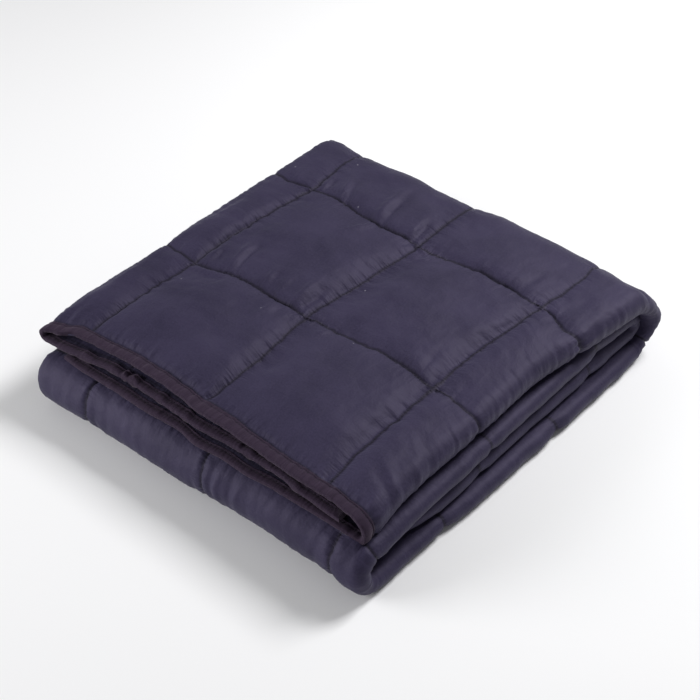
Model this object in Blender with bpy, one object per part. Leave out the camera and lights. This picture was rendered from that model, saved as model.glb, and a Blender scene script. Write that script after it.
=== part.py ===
"""A weighted blanket, quilted in squares and folded into a flat stack.

The blanket is first described laid flat: s runs across its width, t along its length, and n is the height
above its middle sheet. Every point is then folded twice. Across the width the blanket is folded in thirds,
like a letter. The strip that this gives is wound up in four lengths: over the top, down round the back,
forward underneath, up round the front roll, back through the middle, round a smaller inner turn and forward
again.

World axes: X across the width, Y from the front to the back, Z up. The origin is at the middle of the
footprint, on the surface that the blanket lies on. Run in Blender 4.5; sizes are in metres.
"""

import math

import bmesh
import bpy
import numpy as np

# The cut blanket: widths of the quilted columns and lengths of the quilted rows, edge to edge.
COLUMN_WIDTHS = (0.104, 0.130, 0.130, 0.127, 0.134, 0.130, 0.130, 0.110)
ROW_LENGTHS = (0.132, 0.142) + 8 * (0.1436,) + (0.120,)

# Thickness, measured from the middle sheet to one face: at the seams, and at the crown of a square where the
# blanket lies loose on top, or pressed below. Where nothing lies over it the fill puffs up a little more, and
# this fades over the given stretch as the strip goes in under the top length.
SEAM_HALF = 0.0011
TOP_CROWN_HALF = 0.0034
PRESSED_CROWN_HALF = 0.0023
OUTER_PUFF = 0.0012
PUFF_FADE = 0.080
CROWN_POWER = 5

# Binding tape, wrapped over the raw edge.
TAPE_WIDTH = 0.014
TAPE_CLOTH = 0.0007
PIECE_GAP = 0.0003

# Spacing of the three layers of the folded strip, loose on top and pressed below.
TOP_PITCH = 0.0088
PRESSED_PITCH = 0.00545
LAYERS = 3

# The first seam on the outer layer, and where it lies.
FIRST_TOP_SEAM = 3
FIRST_TOP_SEAM_X = -0.1445

# The four lengths of the wound strip: name, y where the length starts, y where it ends, height of its middle,
# x of its left turn and x of its right turn.
BOTTOM_Z = PRESSED_PITCH * LAYERS * 0.5
INNER_Z = PRESSED_PITCH * LAYERS * 1.5
UPPER_Z = PRESSED_PITCH * LAYERS * 2.5
TOP_Z = PRESSED_PITCH * LAYERS * 3.0 + TOP_PITCH * LAYERS * 0.5
LENGTHS = (
    ("top", -0.1660, 0.1680, TOP_Z, -0.1780, 0.1520),
    ("bottom", 0.1680, -0.1730, BOTTOM_Z, -0.1705, 0.1710),
    ("upper", -0.1730, 0.1580, UPPER_Z, -0.1705, 0.1640),
    ("inner", 0.1580, None, INNER_Z, -0.1705, 0.1630),
)
# The turns move to their next place from this far before a bend starts to this far past its start.
LEFT_SHIFT = (0.030, 0.130)
RIGHT_SHIFT = (0.140, 0.040)

# Bound end on top: the middle layer sags away from the top one at the left, and the layers below reach
# further forward.
MOUTH_DEPTH = 0.0033
MOUTH_REACH = 0.090
FRONT_STAGGER = 0.010
STAGGER_REACH = 0.100

# Mesh fineness.
SEAM_SHOULDER = 0.010
LEFT_TURN_STEPS = 6
RIGHT_TURN_STEPS = 8
TURN_SAMPLES = 200
BEND_STEPS = (9, 8, 6)
LEAST_SPACING = 0.0030
SHARP_ANGLE = math.radians(60)

# Surface looks: base colour (linear), roughness, metallic.
QUILT_LOOK = ((0.058, 0.050, 0.091, 1.0), 0.82, 0.0)
TAPE_LOOK = ((0.047, 0.032, 0.058, 1.0), 0.86, 0.0)

SEAMS_S = np.cumsum(COLUMN_WIDTHS)[:-1]
SEAMS_T = np.cumsum(ROW_LENGTHS)[:-1]
FLAT_WIDTH = float(sum(COLUMN_WIDTHS))
FLAT_LENGTH = float(sum(ROW_LENGTHS))


def bend_table():
    """Each bend between two lengths: radius of its middle, radius where the cloth keeps its length, start, end.

    The outermost layer keeps its length round a bend, and the layers inside it are gathered.
    """
    bends = []
    done = 0.0
    for here, after in zip(LENGTHS[:-1], LENGTHS[1:]):
        start = done + abs(here[2] - here[1])
        radius = abs(here[3] - after[3]) / 2.0
        outer_pitch = PRESSED_PITCH if bends else (TOP_PITCH + PRESSED_PITCH) / 2.0
        taut_radius = radius + outer_pitch
        done = start + math.pi * taut_radius
        bends.append((radius, taut_radius, start, done))
    return bends


BENDS = bend_table()


def smooth_step(value):
    """Rise from 0 to 1 with level ends."""
    held = np.clip(value, 0.0, 1.0)
    return held * held * (3.0 - 2.0 * held)


def ribbon(distance, start, heading, runs):
    """Follow straight runs joined by half turns to the right.

    Each run is its length, and the radius of the turn after it with the radius at which the turn's length is
    counted. Returns the point in the plane and the normal on the outside of the turns.
    """
    along, across = start
    done = 0.0
    point_a, point_b, normal_a, normal_b = (np.zeros_like(distance) for _ in range(4))
    for index, (length, radius, counted_radius) in enumerate(runs):
        ahead = distance - done
        reached = (ahead >= 0.0) | (index == 0)
        point_a = np.where(reached, along + heading * ahead, point_a)
        point_b = np.where(reached, across, point_b)
        normal_a = np.where(reached, 0.0, normal_a)
        normal_b = np.where(reached, heading, normal_b)
        if radius is None:
            break
        along = along + heading * length
        done = done + length
        angle = (distance - done) / counted_radius
        reached = angle >= 0.0
        turn_a = heading * np.sin(angle)
        turn_b = heading * np.cos(angle)
        point_a = np.where(reached, along + radius * turn_a, point_a)
        point_b = np.where(reached, across - heading * radius + radius * turn_b, point_b)
        normal_a = np.where(reached, turn_a, normal_a)
        normal_b = np.where(reached, turn_b, normal_b)
        across = across - 2.0 * heading * radius
        done = done + math.pi * counted_radius
        heading = -heading
    return point_a, point_b, normal_a, normal_b


def pressed(t):
    """0 on the loose top length, 1 on the lengths below it."""
    start, end = BENDS[0][2:]
    return smooth_step((t - start) / (end - start))


def layer_pitch(t):
    """Spacing of the three layers of the strip."""
    return TOP_PITCH + (PRESSED_PITCH - TOP_PITCH) * pressed(t)


def turn_place(t, column, shift):
    """Where the left or right turn starts; it moves from length to length."""
    before, past = shift
    place = LENGTHS[0][column]
    for bend, here, after in zip(BENDS, LENGTHS[:-1], LENGTHS[1:]):
        moved = smooth_step((t - bend[2] + before) / (before + past))
        place = place + (after[column] - here[column]) * moved
    return place


def left_turn_x(t):
    """Where the left turn starts."""
    return turn_place(t, 4, LEFT_SHIFT)


def right_turn_x(t):
    """Where the right turn starts."""
    return turn_place(t, 5, RIGHT_SHIFT)


def top_layer_start(t):
    """Distance across the cloth at which the outer layer starts, after the left turn."""
    return SEAMS_S[FIRST_TOP_SEAM - 1] - (FIRST_TOP_SEAM_X - left_turn_x(t))


def fold_width(s, t, n):
    """Fold the width in thirds: returns x and the distance out from the middle layer of the strip."""
    pitch = layer_pitch(t)
    left_x = left_turn_x(t)
    inner_run = top_layer_start(t) - math.pi * pitch / 2.0
    outer_run = right_turn_x(t) - left_x
    runs = ((inner_run, pitch / 2.0, pitch / 2.0), (outer_run, pitch, pitch), (None, None, None))
    x, out, normal_x, normal_out = ribbon(s, (left_x + inner_run, 0.0), -1.0, runs)
    middle_layer = 1.0 - smooth_step((s - inner_run) / (math.pi * pitch / 2.0))
    sag = MOUTH_DEPTH * (1.0 - smooth_step(t / MOUTH_REACH)) * middle_layer
    sag = sag * (1.0 - smooth_step((x - left_x) / outer_run))
    return x + n * normal_x, out + n * normal_out - sag


def fold(s, t, n):
    """Carry points from the flat blanket to the folded stack."""
    s, t, n = np.broadcast_arrays(np.asarray(s, float), np.asarray(t, float), np.asarray(n, float))
    x, out = fold_width(s, t, n)
    runs = [(abs(length[2] - length[1]), bend[0], bend[1]) for length, bend in zip(LENGTHS, BENDS)]
    runs.append((None, None, None))
    y, z, normal_y, normal_z = ribbon(t, (LENGTHS[0][1], TOP_Z), 1.0, runs)
    below_top_layer = 0.5 * (1.0 - out / layer_pitch(t))
    stagger = FRONT_STAGGER * below_top_layer * (1.0 - smooth_step(t / STAGGER_REACH))
    return np.stack((x, y + out * normal_y - stagger, np.maximum(z + out * normal_z, 0.0)), axis=-1)


def stops_between_seams(seams, total):
    """The seams, with the stitching of the tape at each end."""
    return np.concatenate(([TAPE_WIDTH], seams, [total - TAPE_WIDTH]))


def crown(position, seams, total):
    """Height of the fill between two seams, from 0 at a seam to 1 in the middle."""
    stops = stops_between_seams(seams, total)
    cell = np.clip(np.searchsorted(stops, position, side="right") - 1, 0, len(stops) - 2)
    share = (position - stops[cell]) / (stops[cell + 1] - stops[cell])
    return np.clip(1.0 - np.abs(2.0 * share - 1.0) ** CROWN_POWER, 0.0, 1.0)


def lines_between(seams, total, taken, fine_from, fine_to):
    """Mesh lines at the edges, tape and seams, with more in squares that show; the taken stretches stay free."""
    stops = stops_between_seams(seams, total)
    wanted = [0.0, *stops, total]
    for low, high in zip(stops[:-1], stops[1:]):
        if low < fine_to and high > fine_from:
            wanted += [low + SEAM_SHOULDER, high - SEAM_SHOULDER]
        wanted += [(low + high) / 2.0]
    lines = []
    for line in wanted:
        free = all(line < start - LEAST_SPACING or line > end + LEAST_SPACING for start, end in taken)
        if free and all(abs(line - other) > LEAST_SPACING for other in lines):
            lines.append(float(line))
    return lines


def turns_across(t):
    """Start and end of the left turn and of the right turn, in distance across the cloth."""
    start = top_layer_start(t)
    end = start + right_turn_x(t) - left_turn_x(t)
    return ((start - math.pi * layer_pitch(t) / 2.0, start), (end, end + math.pi * layer_pitch(t)))


def steady_width_lines():
    """The mesh lines across the width that keep their place all along the length."""
    t = np.linspace(0.0, FLAT_LENGTH, TURN_SAMPLES)
    taken = [(float(np.min(start)), float(np.max(end))) for start, end in turns_across(t)]
    return lines_between(SEAMS_S, FLAT_WIDTH, taken, taken[0][0], taken[1][1])


def width_lines(t):
    """Mesh lines across the width at one place along the length; those round the two turns follow them."""
    left_turn, right_turn = turns_across(t)
    lines = steady_width_lines()
    lines += list(np.linspace(*left_turn, LEFT_TURN_STEPS + 1))
    lines += list(np.linspace(*right_turn, RIGHT_TURN_STEPS + 1))
    return np.sort(lines)


def length_lines():
    """Mesh lines along the length."""
    lines = lines_between(SEAMS_T, FLAT_LENGTH, [bend[2:] for bend in BENDS], 0.0, BENDS[1][3])
    for bend, steps in zip(BENDS, BEND_STEPS):
        lines += list(np.linspace(bend[2], bend[3], steps + 1))
    return np.sort(lines)


def mesh_grid():
    """Flat coordinates of the quilt's mesh points."""
    along = length_lines()
    s = np.stack([width_lines(t) for t in along], axis=1)
    return s, np.broadcast_to(along, s.shape)


def outside(s, t):
    """1 on the layer that shows on the outside of the stack, 0 on what is folded under it."""
    rise = smooth_step((s - top_layer_start(t)) / TOP_PITCH + 0.5)
    fall = smooth_step((s - top_layer_start(t) - right_turn_x(t) + left_turn_x(t)) / TOP_PITCH - 1.0)
    hidden = smooth_step((t - BENDS[1][3]) / PUFF_FADE + 0.5)
    return rise * (1.0 - fall) * (1.0 - hidden)


def footprint_middle():
    """Middle of the folded blanket's footprint."""
    s, t = mesh_grid()
    points = fold(s, t, quilt_height(s, t)).reshape(-1, 3)
    middle = (points.min(axis=0) + points.max(axis=0)) / 2.0
    return np.array((middle[0], middle[1], 0.0))


def quilt_height(s, t):
    """Height of the quilt's outer face above its middle sheet."""
    return quilt_depth(s, t) + OUTER_PUFF * outside(s, t) * squares(s, t)


def quilt_depth(s, t):
    """Depth of the quilt's inner face below its middle sheet."""
    full = TOP_CROWN_HALF + (PRESSED_CROWN_HALF - TOP_CROWN_HALF) * pressed(t)
    return SEAM_HALF + (full - SEAM_HALF) * squares(s, t)


def squares(s, t):
    """The fill's rise in every quilted square, from 0 at its seams to 1."""
    return crown(s, SEAMS_S, FLAT_WIDTH) * crown(t, SEAMS_T, FLAT_LENGTH)


def add_object(name, points, faces, material):
    """Make one closed object from points and faces."""
    shape = bmesh.new()
    corners = [shape.verts.new(point) for point in points]
    for face in faces:
        shape.faces.new([corners[index] for index in face])
    mesh = bpy.data.meshes.new(name)
    shape.to_mesh(mesh)
    shape.free()
    mesh.shade_smooth()
    mesh.set_sharp_from_angle(angle=SHARP_ANGLE)
    mesh.materials.append(material)
    thing = bpy.data.objects.new(name, mesh)
    bpy.context.collection.objects.link(thing)
    return thing


def make_quilt(material, middle):
    """The filled body, with a crown in every square and drawn in along its seams."""
    s, t = mesh_grid()
    outer = fold(s, t, quilt_height(s, t)).reshape(-1, 3)
    inner = fold(s, t, -quilt_depth(s, t)).reshape(-1, 3)
    count_s, count_t = s.shape

    def corner(i, j, side):
        return side * count_s * count_t + i * count_t + j

    faces = []
    for i in range(count_s - 1):
        for j in range(count_t - 1):
            faces.append([corner(i, j, 0), corner(i + 1, j, 0), corner(i + 1, j + 1, 0), corner(i, j + 1, 0)])
            faces.append([corner(i, j, 1), corner(i, j + 1, 1), corner(i + 1, j + 1, 1), corner(i + 1, j, 1)])
    rim = [(i, 0) for i in range(count_s)]
    rim += [(count_s - 1, j) for j in range(1, count_t)]
    rim += [(i, count_t - 1) for i in range(count_s - 2, -1, -1)]
    rim += [(0, j) for j in range(count_t - 2, 0, -1)]
    for here, after in zip(rim, rim[1:] + rim[:1]):
        faces.append([corner(*here, 1), corner(*after, 1), corner(*after, 0), corner(*here, 0)])
    return add_object("quilt", np.concatenate((outer, inner)) - middle, faces, material)


def tape_stations():
    """Places round the edge: a point on it and the direction inward, in the flat blanket."""
    first_end, last_end = ([s for s in width_lines(t) if TAPE_WIDTH < s < FLAT_WIDTH - TAPE_WIDTH]
                           for t in (0.0, FLAT_LENGTH))
    along = [t for t in length_lines() if TAPE_WIDTH < t < FLAT_LENGTH - TAPE_WIDTH]
    stations = [(0.0, 0.0, 1, 1)]
    stations += [(s, 0.0, 0, 1) for s in first_end]
    stations += [(FLAT_WIDTH, 0.0, -1, 1)]
    stations += [(FLAT_WIDTH, t, -1, 0) for t in along]
    stations += [(FLAT_WIDTH, FLAT_LENGTH, -1, -1)]
    stations += [(s, FLAT_LENGTH, 0, -1) for s in reversed(last_end)]
    stations += [(0.0, FLAT_LENGTH, 1, -1)]
    stations += [(0.0, t, 1, 0) for t in reversed(along)]
    return stations


def make_binding_tape(material, middle):
    """The tape round the raw edge: a U that wraps over it, with a mitre at each corner."""
    inner = SEAM_HALF + PIECE_GAP
    outer = inner + TAPE_CLOTH
    nose = PIECE_GAP + TAPE_CLOTH
    section = (
        (TAPE_WIDTH, outer), (0.0, outer), (-nose, outer / 2.0), (-nose, -outer / 2.0), (0.0, -outer),
        (TAPE_WIDTH, -outer), (TAPE_WIDTH, -inner), (-PIECE_GAP, -inner), (-PIECE_GAP, inner), (TAPE_WIDTH, inner),
    )
    stations = tape_stations()
    points = []
    for s, t, inward_s, inward_t in stations:
        for inset, height in section:
            points.append(fold(s + inset * inward_s, t + inset * inward_t, height) - middle)
    size = len(section)
    faces = []
    for index in range(len(stations)):
        here = index * size
        after = (index + 1) % len(stations) * size
        for k in range(size):
            following = (k + 1) % size
            faces.append([here + k, here + following, after + following, after + k])
    return add_object("binding_tape", points, faces, material)


def make_material(name, look):
    """A plain cloth finish."""
    colour, roughness, metallic = look
    material = bpy.data.materials.new(name)
    material.use_nodes = True
    surface = material.node_tree.nodes["Principled BSDF"]
    surface.inputs["Base Color"].default_value = colour
    surface.inputs["Roughness"].default_value = roughness
    surface.inputs["Metallic"].default_value = metallic
    return material


def main():
    """Clear the scene and build the folded blanket."""
    for thing in list(bpy.data.objects):
        bpy.data.objects.remove(thing, do_unlink=True)
    middle = footprint_middle()
    make_quilt(make_material("quilt_cotton", QUILT_LOOK), middle)
    make_binding_tape(make_material("binding_cotton", TAPE_LOOK), middle)


main()
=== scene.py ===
"""The looks of the folded weighted blanket: its covers, binding tape and stitches, on a pale floor.

The blanket is folded as its CAD solids are. It is described laid flat, where s runs across its width, t
along its length, and n is the height above its middle sheet. Every point is then folded in thirds across
the width and wound up in four lengths. The finer form is added here: the fill's uneven crowns, the puckers
and creases at the seams, a narrower tape, and how the bound end and the folds lie. Sizes are in metres,
apart from the moves and heights marked as mm.
"""

import math

import bpy
import numpy as np
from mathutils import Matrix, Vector


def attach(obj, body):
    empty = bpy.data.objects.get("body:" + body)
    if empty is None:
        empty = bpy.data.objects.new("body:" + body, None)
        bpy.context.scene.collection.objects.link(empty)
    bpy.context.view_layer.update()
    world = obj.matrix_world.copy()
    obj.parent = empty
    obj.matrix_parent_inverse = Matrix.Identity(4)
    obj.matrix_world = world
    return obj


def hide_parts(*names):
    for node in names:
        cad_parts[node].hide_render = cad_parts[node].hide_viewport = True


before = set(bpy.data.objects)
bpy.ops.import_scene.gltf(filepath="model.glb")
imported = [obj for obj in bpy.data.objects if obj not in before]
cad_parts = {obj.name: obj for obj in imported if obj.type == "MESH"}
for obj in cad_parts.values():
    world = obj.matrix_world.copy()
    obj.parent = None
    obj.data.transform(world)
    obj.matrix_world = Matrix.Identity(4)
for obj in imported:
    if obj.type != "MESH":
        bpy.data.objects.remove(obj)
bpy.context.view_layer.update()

# -------- Sizes of the blanket and its folds, as in the CAD --------
COLUMN_WIDTHS = (0.104, 0.130, 0.130, 0.127, 0.134, 0.130, 0.130, 0.110)
ROW_LENGTHS = (0.132, 0.142) + 8 * (0.1436,) + (0.120,)
SEAM_HALF = 0.0011
TOP_CROWN_HALF = 0.0034
PRESSED_CROWN_HALF = 0.0023
PUFF_FADE = 0.080
TAPE_CLOTH = 0.0007
PIECE_GAP = 0.0003
TOP_PITCH = 0.0088
PRESSED_PITCH = 0.00545
LAYERS = 3
FIRST_TOP_SEAM = 3
FIRST_TOP_SEAM_X = -0.1445
BOTTOM_Z = PRESSED_PITCH * LAYERS * 0.5
INNER_Z = PRESSED_PITCH * LAYERS * 1.5
UPPER_Z = PRESSED_PITCH * LAYERS * 2.5
TOP_Z = PRESSED_PITCH * LAYERS * 3.0 + TOP_PITCH * LAYERS * 0.5
# The four lengths: name, y at start and end, height of the middle, x of the left and the right turn.
LENGTHS = (
    ("top", -0.1660, 0.1680, TOP_Z, -0.1780, 0.1520),
    ("bottom", 0.1680, -0.1730, BOTTOM_Z, -0.1705, 0.1710),
    ("upper", -0.1730, 0.1580, UPPER_Z, -0.1705, 0.1640),
    ("inner", 0.1580, None, INNER_Z, -0.1705, 0.1630),
)
LEFT_SHIFT = (0.030, 0.130)
RIGHT_SHIFT = (0.140, 0.040)

SEAMS_S = np.cumsum(COLUMN_WIDTHS)[:-1]
SEAMS_T = np.cumsum(ROW_LENGTHS)[:-1]
FLAT_WIDTH = float(sum(COLUMN_WIDTHS))
FLAT_LENGTH = float(sum(ROW_LENGTHS))
# Middle of the folded stack's footprint, which the CAD's frame puts at the origin.
MIDDLE = np.array((-0.00148, 0.00387, 0.0))

# -------- Where the looks leave the CAD --------
# The outer cover is fuller than in the CAD, and the tape is narrower.
OUTER_PUFF = 0.0020
TAPE_WIDTH = 0.0095
TAPE_INSIDE_WIDTH = 0.0070

# On its way under the stack the outer layer creeps right, so its seams lie further right on the roll.
CREEP = 0.026
CREEP_ALONG = (0.440, 0.770)

# How the bound end lies: distance across the cloth, how far its edge reaches forward, and how far it is
# lifted (mm). The rows run along the middle layer from right to left, over the top layer and back along
# the inner one.
BOUND_END = (
    (0.000, 14.0, -4.0), (0.039, 11.5, -4.0), (0.064, 7.5, -4.0), (0.110, 7.0, -4.0),
    (0.148, 9.0, -4.0), (0.170, 7.5, -4.0), (0.197, 6.0, -4.2), (0.225, 5.0, -4.0),
    (0.249, 6.0, -3.5), (0.272, 9.0, -4.2), (0.301, 12.5, -4.2), (0.324, 13.0, -4.6),
    (0.340, 8.0, -4.2), (0.356, 0.5, -2.8), (0.376, -1.5, -2.6), (0.415, -3.5, -2.4),
    (0.450, -3.0, -2.6), (0.470, -1.5, -3.4), (0.496, 2.0, -4.0), (0.522, 2.0, -4.2),
    (0.550, 3.5, -4.8), (0.577, 5.5, -5.2), (0.600, 7.0, -5.2), (0.635, 7.5, -5.0),
    (0.652, 9.5, -5.6), (0.666, 12.0, -6.6), (0.678, 12.0, -7.0), (0.690, 12.5, -5.2),
    (0.705, 14.0, -3.4), (0.765, 15.0, -3.4), (0.790, 17.0, -3.4), (0.817, 15.5, -3.4),
    (0.841, 17.5, -3.4), (0.866, 13.5, -3.4), (0.901, 15.0, -3.4), (0.938, 13.9, -3.4),
    (0.977, 14.0, -3.4), (0.995, 12.5, -3.4),
)
END_REACH = 0.105
DROOP_REACH = 0.052

# How far the right fold of the top length is dragged forward: near its front, in its middle and at the
# back fold.
DRAG_ROWS = ((0.135, 0.0085), (0.262, 0.0180), (0.342, 0.0040), (0.400, 0.0040), (0.520, 0.0))
DRAG_ACROSS = (0.627, 0.672)
DRAG_FADE = (0.700, 0.780)

# The inner back turn reaches further back and the tucked end further forward than a plain fold. Each move
# comes in, and the first goes out again, over a soft stretch from the place along the cloth given here.
INNER_TURN_REACH = 0.008
INNER_TURN_COMES = 1.090
INNER_TURN_GOES = 1.245
INNER_TURN_SOFT = 0.070
TUCKED_END_REACH = 0.011
TUCKED_END_COMES = 1.330
TUCKED_END_SOFT = 0.180
# The tucked end's corner is drawn in.
TUCKED_CORNER = 0.009
TUCKED_CORNER_ALONG = (1.460, 1.530)


def bend_table():
    """Each bend: radius of its middle, radius where the cloth keeps its length, start and end."""
    bends = []
    done = 0.0
    for here, after in zip(LENGTHS[:-1], LENGTHS[1:]):
        start = done + abs(here[2] - here[1])
        radius = abs(here[3] - after[3]) / 2.0
        outer_pitch = PRESSED_PITCH if bends else (TOP_PITCH + PRESSED_PITCH) / 2.0
        taut_radius = radius + outer_pitch
        done = start + math.pi * taut_radius
        bends.append((radius, taut_radius, start, done))
    return bends


BENDS = bend_table()
BACK_BEND, FRONT_ROLL = BENDS[:2]


def smooth_step(value):
    """Rise from 0 to 1 with level ends."""
    held = np.clip(value, 0.0, 1.0)
    return held * held * (3.0 - 2.0 * held)


def ramp(value, start, end):
    """0 up to the start, rising to 1 at the end."""
    return smooth_step((value - start) / (end - start))


def ribbon(distance, start, heading, runs):
    """Follow straight runs joined by half turns to the right: the point, and the normal outside turns."""
    along, across = start
    done = 0.0
    point_a, point_b, normal_a, normal_b = (np.zeros_like(distance) for _ in range(4))
    for index, (length, radius, counted_radius) in enumerate(runs):
        ahead = distance - done
        reached = (ahead >= 0.0) | (index == 0)
        point_a = np.where(reached, along + heading * ahead, point_a)
        point_b = np.where(reached, across, point_b)
        normal_a = np.where(reached, 0.0, normal_a)
        normal_b = np.where(reached, heading, normal_b)
        if radius is None:
            break
        along = along + heading * length
        done = done + length
        angle = (distance - done) / counted_radius
        reached = angle >= 0.0
        turn_a = heading * np.sin(angle)
        turn_b = heading * np.cos(angle)
        point_a = np.where(reached, along + radius * turn_a, point_a)
        point_b = np.where(reached, across - heading * radius + radius * turn_b, point_b)
        normal_a = np.where(reached, turn_a, normal_a)
        normal_b = np.where(reached, turn_b, normal_b)
        across = across - 2.0 * heading * radius
        done = done + math.pi * counted_radius
        heading = -heading
    return point_a, point_b, normal_a, normal_b


def pressed(t):
    """0 on the loose top length, 1 on the lengths below it."""
    return ramp(t, *BACK_BEND[2:])


def layer_pitch(t):
    """Spacing of the three layers of the strip."""
    return TOP_PITCH + (PRESSED_PITCH - TOP_PITCH) * pressed(t)


def turn_place(t, column, shift):
    """Where the left or right turn starts; it moves from length to length."""
    before, past = shift
    place = LENGTHS[0][column]
    for bend, here, after in zip(BENDS, LENGTHS[:-1], LENGTHS[1:]):
        moved = smooth_step((t - bend[2] + before) / (before + past))
        place = place + (after[column] - here[column]) * moved
    return place


def left_turn_x(t):
    """Where the left turn starts."""
    return turn_place(t, 4, LEFT_SHIFT)


def right_turn_x(t):
    """Where the right turn starts; the corner of the tucked end is drawn in."""
    return turn_place(t, 5, RIGHT_SHIFT) - TUCKED_CORNER * ramp(t, *TUCKED_CORNER_ALONG)


def top_layer_start(t):
    """Distance across the cloth at which the outer layer starts, after the left turn."""
    creep = CREEP * ramp(t, *CREEP_ALONG)
    return SEAMS_S[FIRST_TOP_SEAM - 1] - (FIRST_TOP_SEAM_X + creep - left_turn_x(t))


def fold_width(s, t, n):
    """Fold the width in thirds: returns x and the distance out from the middle layer of the strip."""
    pitch = layer_pitch(t)
    left_x = left_turn_x(t)
    inner_run = top_layer_start(t) - math.pi * pitch / 2.0
    outer_run = right_turn_x(t) - left_x
    runs = ((inner_run, pitch / 2.0, pitch / 2.0), (outer_run, pitch, pitch), (None, None, None))
    x, out, normal_x, normal_out = ribbon(s, (left_x + inner_run, 0.0), -1.0, runs)
    return x + n * normal_x, out + n * normal_out


def bound_end(s, t):
    """Near the bound end, how far the cloth reaches forward, its lift, and how near the end it is."""
    across, forward, lift = np.array(BOUND_END).T
    near = 1.0 - smooth_step(t / END_REACH)
    close = 1.0 - smooth_step(t / DROOP_REACH)
    return smooth_rows(s, across, forward) / 1000.0, smooth_rows(s, across, lift) * close / 1000.0, near


def dragged(s, t):
    """How far the cloth is moved forward, away from the bound end; below zero is back."""
    across = ramp(s, *DRAG_ACROSS)
    across = across * (1.0 - ramp(s, *DRAG_FADE))
    along = smooth_rows(t, *np.array(DRAG_ROWS).T)
    turn = smooth_step((t - INNER_TURN_COMES) / INNER_TURN_SOFT)
    turn = turn * (1.0 - smooth_step((t - INNER_TURN_GOES) / INNER_TURN_SOFT))
    tuck = smooth_step((t - TUCKED_END_COMES) / TUCKED_END_SOFT)
    return along * across - INNER_TURN_REACH * turn + TUCKED_END_REACH * tuck


def row_before(position, places):
    """Which of the places comes before each position, apart from the last one."""
    return np.clip(np.searchsorted(places, position, side="right") - 1, 0, len(places) - 2)


def smooth_rows(position, places, values):
    """Read a table with a smooth rise or fall from row to row."""
    index = row_before(position, places)
    share = smooth_step((position - places[index]) / (places[index + 1] - places[index]))
    return values[index] + (values[index + 1] - values[index]) * share


def fold(s, t, n):
    """Carry points from the flat blanket to the folded stack, in the CAD's place."""
    s, t, n = np.broadcast_arrays(np.asarray(s, float), np.asarray(t, float), np.asarray(n, float))
    s, t = pulled(s, t)
    x, out = fold_width(s, t, n)
    runs = [(abs(length[2] - length[1]), bend[0], bend[1]) for length, bend in zip(LENGTHS, BENDS)]
    runs.append((None, None, None))
    y, z, normal_y, normal_z = ribbon(t, (LENGTHS[0][1], TOP_Z), 1.0, runs)
    forward, lift, near = bound_end(s, t)
    forward = forward * near + dragged(s, t) * (1.0 - near)
    points = np.stack((x, y + out * normal_y - forward, z + out * normal_z + lift), axis=-1)
    points = pushed(points)
    points[..., 2] = np.maximum(points[..., 2], 0.0)
    return points - MIDDLE


# Where the stitching pulls the cloth out of square: place across and along, reach, and pulls (mm).
PULLS = (
    (0.491, 0.132, 0.050, -3.4, 0.0), (0.491, 0.274, 0.050, 5.0, -4.4),
    (0.364, 0.274, 0.050, 6.0, 4.6), (0.625, 0.274, 0.050, 3.0, -5.6),
    (0.625, 0.132, 0.040, -1.4, -1.4), (0.430, 0.132, 0.030, 0.0, 3.0),
    (0.491, 0.334, 0.060, 8.0, 0.0), (0.625, 0.334, 0.060, 9.0, 0.0),
    (0.491, 0.010, 0.045, 3.0, 0.0), (0.491, 0.066, 0.045, 4.5, 0.0),
    (0.625, 0.066, 0.045, -2.5, 0.0), (0.491, 0.204, 0.045, 2.5, 0.0),
    (0.625, 0.204, 0.045, -3.0, 0.0), (0.558, 0.132, 0.045, 0.0, 5.0),
    (0.491, 0.800, 0.055, 4.0, 0.0), (0.625, 0.800, 0.055, -3.0, 0.0),
)
# Uneven pulls everywhere, as wave length and size, and how far in from the raw edge all the pulls fade out.
PULL_WAVES = ((0.090, 0.0011), (0.026, 0.00038), (0.011, 0.00016))
PULL_FADE = 0.020


def to_edge(s, t):
    """Distance to the raw edge."""
    return np.minimum(np.minimum(s, FLAT_WIDTH - s), np.minimum(t, FLAT_LENGTH - t))


def pulled(s, t):
    """The place of the cloth once its stitching has pulled it out of square."""
    inside = smooth_step(to_edge(s, t) / PULL_FADE)
    shift_s = np.zeros(s.shape)
    shift_t = np.zeros(s.shape)
    for place_s, place_t, reach, pull_s, pull_t in PULLS:
        near = np.exp(-((s - place_s) ** 2 + (t - place_t) ** 2) / reach ** 2)
        shift_s = shift_s + pull_s / 1000.0 * near
        shift_t = shift_t + pull_t / 1000.0 * near
    for index, (length, size) in enumerate(PULL_WAVES):
        shift_s = shift_s + size * waves(s, t, length, 5 + index)
        shift_t = shift_t + size * waves(s, t, length, 15 + index)
    return s + shift_s * inside, t + shift_t * inside


# Soft pushes that settle the stack: where each is centred, how far it reaches along x, y and z, and how
# far it moves what is there (mm).
PUSHES = (
    ((-0.181, -0.095, 0.060), (0.030, 0.065, 0.020), (3.5, 0.0, 0.0)),
    ((-0.181, 0.090, 0.060), (0.030, 0.075, 0.020), (-1.5, 0.0, 0.0)),
    ((-0.183, -0.140, 0.022), (0.026, 0.070, 0.020), (2.5, 0.0, 0.0)),
    ((0.160, 0.200, 0.075), (0.050, 0.030, 0.030), (-3.0, -5.0, -3.5)),
    ((0.178, 0.185, 0.034), (0.026, 0.034, 0.018), (4.0, 5.0, 0.0)),
    ((0.176, -0.172, 0.044), (0.022, 0.030, 0.014), (0.0, 0.0, -6.0)),
    ((-0.186, 0.196, 0.058), (0.034, 0.030, 0.032), (-3.5, 3.5, 2.0)),
    ((0.178, -0.186, 0.020), (0.020, 0.022, 0.020), (0.0, 2.0, 0.0)),
    ((0.068, -0.192, 0.012), (0.048, 0.034, 0.026), (0.0, 5.0, 0.0)),
    ((0.186, 0.110, 0.010), (0.030, 0.070, 0.018), (4.5, 0.0, 0.0)),
)


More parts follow.
